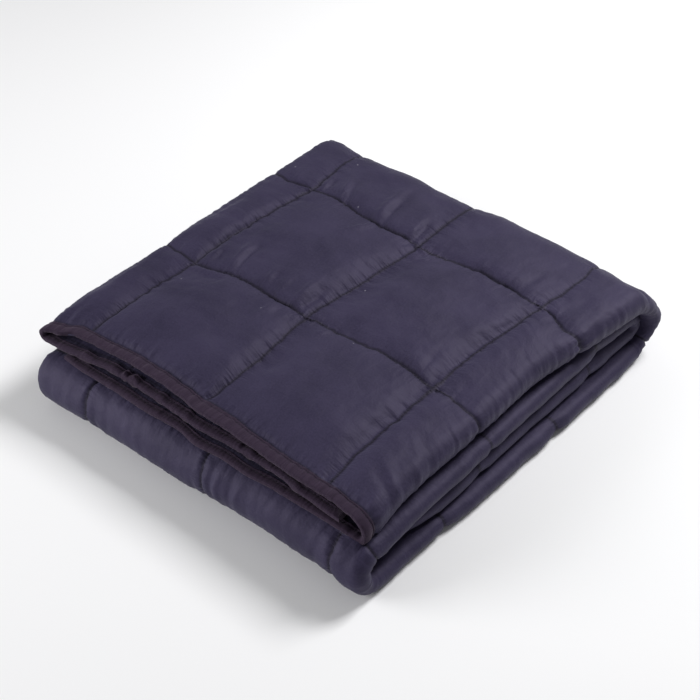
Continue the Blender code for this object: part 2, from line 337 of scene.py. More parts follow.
def pushed(points):
    """The points after the soft pushes."""
    moved = points.copy()
    for centre, reach, move in PUSHES:
        away = ((points - np.array(centre)) / np.array(reach)) ** 2
        moved += np.exp(-away.sum(axis=-1))[..., None] * np.array(move) / 1000.0
    return moved


# -------- The fill and the creases --------
GROOVE_NARROW = 0.0044
GROOVE_WIDE = 0.0090
DOME_HEIGHT = 0.0040
SEAM_DIP = 0.0006
CROWN_SPREAD = 0.10
UNEVEN_BANDS = ((0.085, 0.00055), (0.036, 0.00024), (0.016, 0.00012))
PUCKER_REACH = 0.0080
PUCKER_HEIGHT = 0.00052
PUCKER_SPACING = 0.0100
STAR_REACH = 0.017
STAR_HEIGHT = 0.0005
STAR_ARMS = 7
FOLD_WRINKLES = 0.00020
FOLD_WRINKLE_SPACING = 0.0075
ROLL_WRINKLES = 0.00009
ROLL_WRINKLE_SPACING = 0.0110
PINCH_DEPTH = 0.0012
PINCH_REACH = 0.0024
SEAM_HELD_OUT = 0.55
PUFF_LOST_AT_FOLD = 0.85
GATHER_HEIGHT = 0.0009
GATHER_SPACING = 0.0085
GATHER_REACH = 0.008
FINE_FORM_HIDDEN = 0.35
LOWEST_COVER = -0.0030
# Where the cover turns, along the blanket.
BACK_FOLD_ALONG = (0.305, 0.445)
FRONT_ROLL_ALONG = (0.775, 0.860)

# Creases on the outer cover, and at the end of the list the long hollows and ridges beside
# its long seams: distance across, distance along, direction in degrees from across, half length, half
# width, and height (mm; below zero is a trough).
CREASES = (
    (0.369, 0.288, 95, 0.012, 0.0032, 2.0), (0.375, 0.289, 92, 0.011, 0.0028, -2.0),
    (0.390, 0.290, 100, 0.019, 0.0036, 2.0), (0.400, 0.288, 101, 0.018, 0.0034, -1.5),
    (0.440, 0.296, 98, 0.028, 0.0042, 2.5), (0.448, 0.298, 100, 0.026, 0.0032, -2.2),
    (0.483, 0.286, 95, 0.014, 0.003, -2.5), (0.476, 0.290, 97, 0.017, 0.004, 1.8),
    (0.445, 0.255, 73, 0.015, 0.0038, 1.8), (0.385, 0.126, 0, 0.013, 0.0034, 2.0),
    (0.390, 0.118, 8, 0.020, 0.0036, -1.0), (0.392, 0.158, 96, 0.021, 0.004, 2.2),
    (0.400, 0.156, 97, 0.019, 0.0032, -2.0), (0.378, 0.146, 99, 0.011, 0.0028, -1.8),
    (0.372, 0.150, 80, 0.012, 0.003, 1.4), (0.435, 0.150, 103, 0.011, 0.003, 1.5),
    (0.442, 0.149, 101, 0.010, 0.0026, -1.4), (0.452, 0.151, 100, 0.012, 0.003, 1.5),
    (0.471, 0.156, 99, 0.019, 0.0038, 2.7), (0.483, 0.149, 97, 0.013, 0.003, -2.8),
    (0.463, 0.114, 79, 0.0155, 0.0034, 1.4), (0.472, 0.118, 84, 0.012, 0.003, -1.0),
    (0.457, 0.024, -57, 0.014, 0.0034, -1.2), (0.517, 0.126, 71, 0.009, 0.003, 1.7),
    (0.510, 0.260, 50, 0.010, 0.003, 1.5), (0.600, 0.290, 88, 0.013, 0.0034, -1.5),
    (0.606, 0.150, 92, 0.012, 0.0034, -1.4), (0.645, 0.150, 60, 0.020, 0.008, -1.9),
    (0.646, 0.292, 60, 0.018, 0.008, -1.7), (0.646, 0.060, -40, 0.024, 0.0045, 0.8),
    (0.655, 0.052, -34, 0.024, 0.0038, -1.1), (0.660, 0.040, -25, 0.020, 0.0036, 1.0),
    (0.663, 0.031, -20, 0.018, 0.0034, -1.1), (0.668, 0.062, -32, 0.020, 0.0036, 0.8),
    (0.672, 0.074, -28, 0.018, 0.0036, -1.0), (0.664, 0.300, 12, 0.014, 0.0032, -1.0),
    (0.668, 0.313, 8, 0.014, 0.0032, 0.8), (0.676, 0.352, 4, 0.012, 0.003, -2.6),
    (0.676, 0.378, -4, 0.012, 0.0028, -2.9), (0.676, 0.402, 4, 0.012, 0.0028, -2.2),
    (0.676, 0.426, -3, 0.012, 0.003, -2.6), (0.375, 0.812, 95, 0.013, 0.0028, -1.2),
    (0.480, 0.806, 93, 0.015, 0.003, -1.4), (0.503, 0.820, 86, 0.017, 0.0028, -1.7),
    (0.510, 0.822, 88, 0.016, 0.003, 1.7), (0.524, 0.826, 84, 0.014, 0.003, -1.4),
    (0.532, 0.826, 82, 0.014, 0.003, 1.2), (0.611, 0.814, 88, 0.015, 0.003, -1.4),
    (0.672, 0.800, 8, 0.012, 0.0034, -2.4), (0.674, 0.822, -6, 0.012, 0.003, -2.9),
    (0.672, 0.838, 3, 0.011, 0.0028, -2.2), (0.500, 0.203, 90, 0.062, 0.017, -3.6),
    (0.473, 0.200, 90, 0.056, 0.013, 2.2), (0.503, 0.066, 90, 0.058, 0.017, -3.8),
    (0.477, 0.068, 90, 0.052, 0.013, 2.0), (0.622, 0.203, 90, 0.056, 0.0085, -3.0),
    (0.620, 0.066, 90, 0.056, 0.009, -3.6), (0.356, 0.203, 90, 0.056, 0.006, 1.1),
    (0.376, 0.203, 90, 0.056, 0.016, -1.8),
)


def stops_between_seams(seams, total):
    """The seams, with the stitching of the tape at each end."""
    return np.concatenate(([TAPE_WIDTH], seams, [total - TAPE_WIDTH]))


def rise_from(away, reach):
    """0 at a seam, rising to nearly 1 well away from it."""
    return 1.0 - np.exp(-away / reach)


def to_seam(position, seams, total):
    """Distance to the nearest seam or tape stitching."""
    stops = stops_between_seams(seams, total)
    return np.min(np.abs(np.asarray(position)[..., None] - stops), axis=-1)


def waves(s, t, length, seed, count=8):
    """Uneven rise and fall of about 1 on average, with waves of about this length in every direction."""
    rng = np.random.RandomState(seed)
    total = np.zeros(np.broadcast(s, t).shape)
    for _ in range(count):
        angle = rng.uniform(0.0, math.pi)
        number = 2.0 * math.pi / (length * rng.uniform(0.75, 1.45))
        phase = rng.uniform(0.0, 2.0 * math.pi)
        total = total + np.sin(number * (s * math.cos(angle) + t * math.sin(angle)) + phase)
    return total * math.sqrt(2.0 / count)


def rough_line(position, spacing, seed, count=9):
    """Uneven waves of about 1 on average along one line, for puckers that are never evenly spaced."""
    rng = np.random.RandomState(seed)
    total = np.zeros(np.shape(position))
    for _ in range(count):
        number = 2.0 * math.pi / (spacing * rng.uniform(0.6, 1.7))
        total = total + np.sin(number * position + rng.uniform(0.0, 2.0 * math.pi))
    return total * math.sqrt(2.0 / count)


def puckers(along, away, seed):
    """Puckers that run out from a seam and die away."""
    swing = rough_line(along + 0.15 * away, PUCKER_SPACING, seed)
    return swing * np.exp(-away / PUCKER_REACH) * smooth_step(away / 0.0020 + 0.20)


def stars(s, t):
    """Short creases that run out from each crossing of two seams."""
    column = np.argmin(np.abs(s[..., None] - SEAMS_S), axis=-1)
    row = np.argmin(np.abs(t[..., None] - SEAMS_T), axis=-1)
    from_s = s - SEAMS_S[column]
    from_t = t - SEAMS_T[row]
    away = np.hypot(from_s, from_t)
    angle = np.arctan2(from_t, from_s)
    phase = 1.7 * column + 2.9 * row
    arms = np.cos(STAR_ARMS * angle + phase) + 0.6 * np.cos((STAR_ARMS + 4) * angle - phase)
    return arms * np.exp(-((away / STAR_REACH) ** 1.5)) * smooth_step(away / 0.004)


def hand_creases(s, t):
    """The listed creases."""
    total = np.zeros(np.broadcast(s, t).shape)
    for crease_s, crease_t, degrees, half_length, half_width, height in CREASES:
        angle = math.radians(degrees)
        along = (s - crease_s) * math.cos(angle) + (t - crease_t) * math.sin(angle)
        across = -(s - crease_s) * math.sin(angle) + (t - crease_t) * math.cos(angle)
        near = np.exp(-((along / half_length) ** 2) - (across / half_width) ** 2)
        total = total + height / 1000.0 * near
    return total


def past_turns(s, t):
    """Distance across the cloth past the left turn's end and past the right turn's start."""
    past_left = s - top_layer_start(t)
    return past_left, past_left - right_turn_x(t) + left_turn_x(t)


def outside(s, t):
    """1 on the layer that shows on the outside of the stack, 0 on what is folded under it."""
    past_left, past_right = past_turns(s, t)
    rise = smooth_step(past_left / TOP_PITCH + 0.5)
    fall = smooth_step(past_right / TOP_PITCH - 1.0)
    hidden = smooth_step((t - FRONT_ROLL[3]) / PUFF_FADE + 0.5)
    return rise * (1.0 - fall) * (1.0 - hidden)


def dome(position, seams, total):
    """0 at the seams, rising in an even curve to 1 in the middle of each square."""
    stops = stops_between_seams(seams, total)
    width = np.diff(stops)[row_before(position, stops)]
    share = np.clip(2.0 * to_seam(position, seams, total) / width, 0.0, 1.0)
    return share * (2.0 - share)


def fullness(s, t, side):
    """How full the fill is in each square, about 1; side is 1 on the outer cover, else -1."""
    column = row_before(s, stops_between_seams(SEAMS_S, FLAT_WIDTH))
    row = row_before(t, stops_between_seams(SEAMS_T, FLAT_LENGTH))
    rng = np.random.RandomState(11 if side > 0 else 12)
    spread = 1.0 + CROWN_SPREAD * rng.uniform(-1.0, 1.0, (len(SEAMS_S) + 1, len(SEAMS_T) + 1))
    return spread[column, row]


def tape_mask(s, t, side):
    """0 under the binding tape, rising to 1 past its stitching."""
    width = TAPE_WIDTH if side > 0 else TAPE_INSIDE_WIDTH
    return smooth_step((to_edge(s, t) - width - 0.0004) / 0.0040)


def tape_gathers(s, t, side):
    """Gathers of the cover along the tape's stitching."""
    edge_t = np.maximum(np.minimum(t, FLAT_LENGTH - t) - TAPE_WIDTH, 0.0)
    edge_s = np.maximum(np.minimum(s, FLAT_WIDTH - s) - TAPE_WIDTH, 0.0)
    gathers = rough_line(s, GATHER_SPACING, 71 + side) * np.exp(-edge_t / GATHER_REACH)
    return gathers + rough_line(t, GATHER_SPACING, 81 + side) * np.exp(-edge_s / GATHER_REACH)


def window(value, start, end, soft):
    """1 between start and end, with soft sides."""
    return smooth_step((value - start) / soft + 0.5) * (1.0 - smooth_step((value - end) / soft + 0.5))


def at_side_folds(s, t, soft, spare):
    """1 on the left and on the right fold, 0 away from them."""
    past_left, past_right = past_turns(s, t)
    pitch = layer_pitch(t)
    left = window(past_left, -math.pi * pitch / 2.0 - spare, spare, soft)
    return left, window(past_right, -spare, math.pi * pitch + spare, soft)


def at_folds(s, t):
    """1 on the cover where it turns, 0 where it lies flat."""
    left, right = at_side_folds(s, t, 0.030, 0.004)
    ends = window(t, *BACK_FOLD_ALONG, 0.060) + window(t, *FRONT_ROLL_ALONG, 0.040)
    return np.clip(left + right + ends, 0.0, 1.0)


def fold_wrinkles(s, t):
    """Short wrinkles across the side folds and down the front roll, and the pinch of the seams there."""
    left, right = at_side_folds(s, t, 0.012, 0.001)
    past_left, past_right = past_turns(s, t)
    between = smooth_step(past_left / 0.030) * (1.0 - smooth_step(past_right / 0.030))
    roll = window(t, 0.785, 0.850, 0.030) * between
    back = window(t, 0.345, 0.430, 0.030) * between
    across = rough_line(t + 0.25 * (s - 0.676), FOLD_WRINKLE_SPACING, 91)
    down = rough_line(s + 0.12 * (t - 0.815), ROLL_WRINKLE_SPACING, 93)
    wrinkles = FOLD_WRINKLES * (right + left) * across + ROLL_WRINKLES * (roll + 0.7 * back) * down
    away_t = to_seam(t, SEAMS_T, FLAT_LENGTH)
    away_s = to_seam(s, SEAMS_S, FLAT_WIDTH)
    pinch = np.exp(-((away_t / PINCH_REACH) ** 2)) * (right + 0.3 * left)
    pinch = pinch + np.exp(-((away_s / PINCH_REACH) ** 2)) * (0.8 * roll + 0.4 * back)
    return wrinkles - PINCH_DEPTH * pinch


def cover_height(s, t, side):
    """Height of a cover above the middle sheet; side is 1 on the outer cover and -1 on the inner."""
    full = TOP_CROWN_HALF + (PRESSED_CROWN_HALF - TOP_CROWN_HALF) * pressed(t)
    away_s = to_seam(s, SEAMS_S, FLAT_WIDTH)
    away_t = to_seam(t, SEAMS_T, FLAT_LENGTH)
    folds = at_folds(s, t)
    narrow = rise_from(away_s, GROOVE_NARROW) * rise_from(away_t, GROOVE_NARROW)
    narrow = narrow + (1.0 - narrow) * SEAM_HELD_OUT * folds
    wide = rise_from(away_s, GROOVE_WIDE) * rise_from(away_t, GROOVE_WIDE)
    rise = narrow * fullness(s, t, side)
    shown = outside(s, t) if side > 0 else 0.0
    height = (full - SEAM_HALF) * rise - SEAM_DIP * shown * (1.0 - narrow)
    puff = OUTER_PUFF * wide + DOME_HEIGHT * dome(s, SEAMS_S, FLAT_WIDTH) * dome(t, SEAMS_T, FLAT_LENGTH)
    height = height + shown * puff * fullness(s, t, side) * (1.0 - PUFF_LOST_AT_FOLD * folds)
    fine = PUCKER_HEIGHT * (puckers(t, away_s, 31 + side) + puckers(s, away_t, 41 + side))
    fine = fine + GATHER_HEIGHT * tape_gathers(s, t, side)
    fine = fine + STAR_HEIGHT * stars(s, t)
    for index, (length, size) in enumerate(UNEVEN_BANDS):
        fine = fine + size * waves(s, t, length, 61 + index + 10 * side) * smooth_step(rise * 1.6)
    if side > 0:
        fine = fine + hand_creases(s, t) * smooth_step(np.minimum(away_s, away_t) / 0.003 + 0.25)
    fine = fine * (FINE_FORM_HIDDEN + (1.0 - FINE_FORM_HIDDEN) * shown)
    if side > 0:
        fine = fine + fold_wrinkles(s, t)
    return SEAM_HALF + np.maximum((height + fine) * tape_mask(s, t, side), LOWEST_COVER)


# -------- Meshes --------
SEAM_SIDE_LINES = (0.0011, 0.0030)
LINE_CLEARANCE = 0.0008
FINE_SPACING = 0.0045

# Columns of the mesh: from, to, the finest spacing across, and the place of their spacing in a band's list.
EDGE, HIDDEN, FOLD, MIDDLE_PART = range(4)
COLUMNS = (
    (0.0, 0.010, 0.0034, EDGE),
    (0.010, 0.300, 0.0060, HIDDEN),
    (0.300, 0.346, 0.0017, FOLD),
    (0.346, 0.646, 0.0020, MIDDLE_PART),
    (0.646, 0.700, 0.0018, FOLD),
    (0.700, 0.985, 0.0060, HIDDEN),
    (0.985, FLAT_WIDTH, 0.0034, EDGE),
)
# Bands of the outer cover's mesh: from, to, spacing across the four kinds of columns, and along the
# hidden and the shown ones.
OUTER_BANDS = (
    (0.0, 0.010, (0.0034, 0.0085, 0.0017, 0.0020), 0.0034, 0.0034),
    (0.010, 0.334, (0.0034, 0.0100, 0.0017, 0.0020), 0.0080, 0.0020),
    (0.334, 0.441, (0.0034, 0.0120, 0.0017, 0.0036), 0.0060, 0.0030),
    (0.441, 0.782, (0.0034, 0.0120, 0.0017, 0.0080), 0.0120, 0.0060),
    (0.782, 0.866, (0.0034, 0.0120, 0.0017, 0.0020), 0.0050, 0.0025),
    (0.866, 1.160, (0.0034, 0.0120, 0.0017, 0.0120), 0.0120, 0.0085),
    (1.160, 1.236, (0.0034, 0.0120, 0.0017, 0.0120), 0.0070, 0.0036),
    (1.236, 1.5328, (0.0034, 0.0120, 0.0017, 0.0120), 0.0110, 0.0110),
    (1.5328, FLAT_LENGTH, (0.0034, 0.0120, 0.0017, 0.0060), 0.0034, 0.0034),
)
# The inner cover's mesh has the same bands, with one spacing along each and the same spacings across all.
INNER_ACROSS = (0.0034, 0.0150, 0.0034, 0.0120)
INNER_ALONG = (0.0034, 0.0100, 0.0060, 0.0120, 0.0050, 0.0120, 0.0070, 0.0110, 0.0034)
INNER_BANDS = [(*band[:2], INNER_ACROSS, along, along) for band, along in zip(OUTER_BANDS, INNER_ALONG)]


def mesh_lines(stretches, seams):
    """Mesh lines over the stretches, with a line on each seam and close on both sides of it."""
    lines = [stretches[-1][1]]
    for start, end, spacing in stretches:
        count = max(1, round((end - start) / spacing))
        lines += [start + (end - start) * step / count for step in range(count)]
    for seam in seams:
        beside = [seam] + [seam + side * away for away in SEAM_SIDE_LINES for side in (-1.0, 1.0)]
        for line in beside:
            lines = [other for other in lines if abs(other - line) >= LINE_CLEARANCE] + [line]
    return np.array(sorted(lines))


LINES_S = mesh_lines([column[:3] for column in COLUMNS], SEAMS_S)
LINES_T = mesh_lines([(*band[:2], band[4]) for band in OUTER_BANDS], SEAMS_T)


def thinned(lines, start, end, spacing, seams):
    """Places of the lines from start to end that lie about this far apart, with those on the seams."""
    first, last = (int(np.argmin(np.abs(lines - place))) for place in (start, end))
    kept = SEAM_SIDE_LINES[-1] + 0.0001 if spacing < FINE_SPACING else 0.0001
    chosen = [first]
    for place in range(first + 1, last):
        at_seam = np.min(np.abs(seams - lines[place])) < kept
        if at_seam or lines[place] - lines[chosen[-1]] > 0.9 * spacing:
            chosen.append(place)
    return chosen + [last]


def panel_cells(bands):
    """The cells of a cover's mesh: the first and last line of each, across and along."""
    cells = []
    for start_t, end_t, across_spacings, hidden_spacing, shown_spacing in bands:
        for start_s, end_s, _, kind in COLUMNS:
            along_spacing = shown_spacing if kind in (FOLD, MIDDLE_PART) else hidden_spacing
            across = thinned(LINES_S, start_s, end_s, across_spacings[kind], SEAMS_S)
            along = thinned(LINES_T, start_t, end_t, along_spacing, SEAMS_T)
            cells += [(*i, *j) for i in zip(across[:-1], across[1:]) for j in zip(along[:-1], along[1:])]
    return cells


def cover_mesh(cells):
    """The corners in use, their numbers, and a face round each cell past every corner on its sides."""
    used = np.zeros((len(LINES_S), len(LINES_T)), bool)
    for i in (0, 1):
        for j in (2, 3):
            used[[cell[i] for cell in cells], [cell[j] for cell in cells]] = True
    numbers = np.where(used, np.cumsum(used).reshape(used.shape) - 1, -1).tolist()
    faces = []
    for low_i, high_i, low_j, high_j in cells:
        walk = [numbers[i][low_j] for i in range(low_i, high_i)]
        walk += numbers[high_i][low_j:high_j]
        walk += [numbers[i][high_j] for i in range(high_i, low_i, -1)]
        walk += numbers[low_i][high_j:low_j:-1]
        faces.append([number for number in walk if number >= 0])
    return used, np.array(numbers), faces


def rim_faces(outer_row, inner_row):
    """Faces between the covers along one edge, from each corner that both have to the next."""
    shared = [k for k in range(len(outer_row)) if outer_row[k] >= 0 and inner_row[k] >= 0]
    faces = []
    for low, high in zip(shared[:-1], shared[1:]):
        walk = [*inner_row[low:high + 1], *reversed(outer_row[low:high + 1])]
        faces.append([int(number) for number in walk if number >= 0])
    return faces


def add_object(name, data):
    """Put a new object in the scene."""
    thing = bpy.data.objects.new(name, data)
    bpy.context.collection.objects.link(thing)
    return thing


def add_mesh(name, points, faces, flat=None):
    """Make a smooth mesh object; flat gives each point's place in the flat blanket."""
    mesh = bpy.data.meshes.new(name)
    mesh.from_pydata([tuple(point) for point in points], [], faces)
    mesh.shade_smooth()
    if flat is not None:
        corners = np.zeros(len(mesh.loops), np.int32)
        mesh.loops.foreach_get("vertex_index", corners)
        layer = mesh.uv_layers.new(name="flat")
        layer.data.foreach_set("uv", flat[corners].astype(np.float32).ravel())
    return add_object(name, mesh)


def add_numbers(thing, name, values):
    """Keep a number with each point of a mesh, for its material."""
    attribute = thing.data.attributes.new(name, "FLOAT", "POINT")
    attribute.data.foreach_set("value", np.asarray(values, np.float32))


def make_quilt():
    """The filled body: a fine outer cover and a plainer inner cover, joined round the edge."""
    outer_used, outer_numbers, outer_faces = cover_mesh(panel_cells(OUTER_BANDS))
    inner_used, inner_numbers, inner_faces = cover_mesh(panel_cells(INNER_BANDS))
    inner_numbers = np.where(inner_used, inner_numbers + outer_used.sum(), -1)
    first = int(outer_used.sum())
    faces = outer_faces + [[number + first for number in reversed(face)] for face in inner_faces]
    for edge in (0, -1):
        ends = rim_faces(outer_numbers[:, edge], inner_numbers[:, edge])
        sides = rim_faces(outer_numbers[edge], inner_numbers[edge])
        turned, kept = (sides, ends) if edge == 0 else (ends, sides)
        faces += kept + [face[::-1] for face in turned]
    points = []
    places = []
    for used, side in ((outer_used, 1), (inner_used, -1)):
        i, j = np.nonzero(used)
        s, t = LINES_S[i], LINES_T[j]
        points.append(fold(s, t, side * cover_height(s, t, side)))
        places.append(np.stack((s, t), axis=1))
    places = np.concatenate(places)
    quilt = add_mesh("quilt_cover", np.concatenate(points), faces, places)
    add_numbers(quilt, "to_long_seam", to_seam(places[:, 0], SEAMS_S, FLAT_WIDTH))
    add_numbers(quilt, "to_cross_seam", to_seam(places[:, 1], SEAMS_T, FLAT_LENGTH))
    return quilt


# The tape: segments round its edge, its stitching's place in from its inner edge, and its crown.
TAPE_NOSE_STEPS = 6
TAPE_STITCH = 0.0018
TAPE_PUFF = 0.0005
# How much the tape's thickness varies: by its small puckers, and by the deeper pleats on this part of the
# front end's middle layer.
TAPE_PUCKERS = 0.10
TAPE_PLEATS = 0.50
PLEATED = (0.030, 0.290)


def tape_stations():
    """Places round the edge: a point on it and the direction inward, in the flat blanket."""
    across = [s for s in LINES_S if TAPE_WIDTH < s < FLAT_WIDTH - TAPE_WIDTH]
    rows = set()
    for start, end, _, spacing, _ in OUTER_BANDS:
        rows.update(thinned(LINES_T, start, end, spacing, SEAMS_T))
    along = [t for t in LINES_T[sorted(rows)] if TAPE_WIDTH < t < FLAT_LENGTH - TAPE_WIDTH]
    stations = [(0.0, 0.0, 1, 1)]
    stations += [(s, 0.0, 0, 1) for s in across]
    stations += [(FLAT_WIDTH, 0.0, -1, 1)]
    stations += [(FLAT_WIDTH, t, -1, 0) for t in along]
    stations += [(FLAT_WIDTH, FLAT_LENGTH, -1, -1)]
    stations += [(s, FLAT_LENGTH, 0, -1) for s in reversed(across)]
    stations += [(0.0, FLAT_LENGTH, 1, -1)]
    stations += [(0.0, t, 1, 0) for t in reversed(along)]
    return stations


def tape_section():
    """The tape's section: inset from the raw edge and height, round its outside and back inside."""
    inner = SEAM_HALF + PIECE_GAP
    outer = inner + TAPE_CLOTH

    def flank(width):
        stitch = width - TAPE_STITCH
        return [(width, outer - 0.0001), (width - 0.0008, outer + 0.0002), (stitch, outer - 0.0004),
                (stitch - 0.0012, outer + 0.0002), (0.5 * stitch, outer + TAPE_PUFF),
                (0.2 * stitch, outer + 0.0003)]

    nose = []
    for step in range(TAPE_NOSE_STEPS + 1):
        angle = math.pi * step / TAPE_NOSE_STEPS
        nose.append((-(PIECE_GAP + TAPE_CLOTH) * math.sin(angle), outer * math.cos(angle)))
    under = [(inset, -height) for inset, height in reversed(flank(TAPE_INSIDE_WIDTH))]
    lining = [(TAPE_INSIDE_WIDTH, -inner), (-PIECE_GAP, -inner), (-PIECE_GAP, inner), (TAPE_WIDTH, inner)]
    return flank(TAPE_WIDTH) + nose + under + lining


def make_tape():
    """The tape round the raw edge, with a mitre at each corner."""
    section = np.array(tape_section())
    stations = np.array(tape_stations(), float)
    inset, height = section[:, 0], section[:, 1]
    place = stations[:, None, :2] + inset[None, :, None] * stations[:, None, 2:]
    steps = np.hypot(*np.diff(stations[:, :2], axis=0, prepend=stations[:1, :2]).T)
    along = np.cumsum(steps)[:, None]
    pleats = TAPE_PUCKERS + (TAPE_PLEATS - TAPE_PUCKERS) * window(along, *PLEATED, 0.020)
    loose = np.abs(height) > SEAM_HALF + PIECE_GAP + 0.0001
    puff = 1.0 + pleats * rough_line(along, 0.010, 51) * loose
    points = fold(place[..., 0], place[..., 1], height * np.maximum(puff, 0.9)).reshape(-1, 3)
    flat = np.stack(np.broadcast_arrays(along, inset[None, :]), axis=-1).reshape(-1, 2)
    size = len(section)
    faces = []
    for index in range(len(stations)):
        here = index * size
        after = (index + 1) % len(stations) * size
        for k in range(size):
            following = (k + 1) % size
            faces.append((here + k, here + following, after + following, after + k))
    tape = add_mesh("binding", points, faces, flat)
    tape.data.set_sharp_from_angle(angle=math.radians(50))
    return tape


STITCH_PITCH = 0.0034
STITCH_LENGTH = 0.0024
THREAD_RADIUS = 0.00022
THREAD_SIDES = 5
# How far the cross seams' stitches go round the left and the right fold, from the flat of the outer layer.
STITCHED_LEFT = 0.012
STITCHED_RIGHT = 0.030


def stitch_line(start, end):
    """Middles of the stitches along a line in the flat blanket, and the direction of the line."""
    start, end = np.array(start), np.array(end)
    length = np.hypot(*(end - start))
    middles = np.arange(STITCH_PITCH, length - STITCH_PITCH, STITCH_PITCH)
    direction = (end - start) / length
    return start + middles[:, None] * direction, np.broadcast_to(direction, (len(middles), 2))


def stitch_lines():
    """Each line's stitches: places, directions, and 1 on the outer cover or 2 or -2 on the tape's sides."""
    lines = []
    start = top_layer_start(0.0)
    first = start - STITCHED_LEFT
    last = right_turn_x(0.0) - left_turn_x(0.0) + start + STITCHED_RIGHT
    end = FRONT_ROLL[3] + PUFF_FADE
    for seam in SEAMS_S:
        if first < seam < last:
            lines.append((*stitch_line((seam, TAPE_WIDTH), (seam, end)), 1))
    for seam in SEAMS_T:
        if seam < end:
            lines.append((*stitch_line((first, seam), (last, seam)), 1))
    for side, width in ((1, TAPE_WIDTH), (-1, TAPE_INSIDE_WIDTH)):
        inset = width - TAPE_STITCH
        corners = [(inset, inset), (FLAT_WIDTH - inset, inset), (FLAT_WIDTH - inset, FLAT_LENGTH - inset),
                   (inset, FLAT_LENGTH - inset)]
        for corner, following in zip(corners, corners[1:] + corners[:1]):
            lines.append((*stitch_line(corner, following), 2 * side))
    return lines


def make_stitches():
    """Short raised stitches of thread, on the outer cover's seams and on both sides of the tape."""
    points = []
    angles = np.arange(THREAD_SIDES) * 2.0 * math.pi / THREAD_SIDES
    for middles, directions, kind in stitch_lines():
        rings = []
        across = np.stack((-directions[:, 1], directions[:, 0]), axis=1)
        for share, thickness in ((-0.5, 0.35), (-0.3, 1.0), (0.3, 1.0), (0.5, 0.35)):
            centre = middles + share * STITCH_LENGTH * directions
            if abs(kind) == 2:
                base = np.full(len(middles), SEAM_HALF + PIECE_GAP + TAPE_CLOTH - 0.0004)
            else:
                base = cover_height(centre[:, 0], centre[:, 1], 1)
            side = 1.0 if kind > 0 else -1.0
            height = base[:, None] + THREAD_RADIUS * (thickness * np.sin(angles)[None, :] + 0.5 * thickness)
            width = THREAD_RADIUS * thickness * np.cos(angles)[None, :]
            rings.append(fold(centre[:, :1] + width * across[:, :1], centre[:, 1:] + width * across[:, 1:],
                              side * height))
        points.append(np.stack(rings, axis=1).reshape(-1, 3))
    points = np.concatenate(points)
    faces = []
    size = 4 * THREAD_SIDES
    for base in range(0, len(points), size):
        for ring in range(3):
            for k in range(THREAD_SIDES):
                following = (k + 1) % THREAD_SIDES
                low, high = base + ring * THREAD_SIDES, base + (ring + 1) * THREAD_SIDES
                faces.append((low + k, low + following, high + following, high + k))
        faces.append(tuple(base + k for k in reversed(range(THREAD_SIDES))))
        faces.append(tuple(base + 3 * THREAD_SIDES + k for k in range(THREAD_SIDES)))
    return add_mesh("stitches", points, faces)


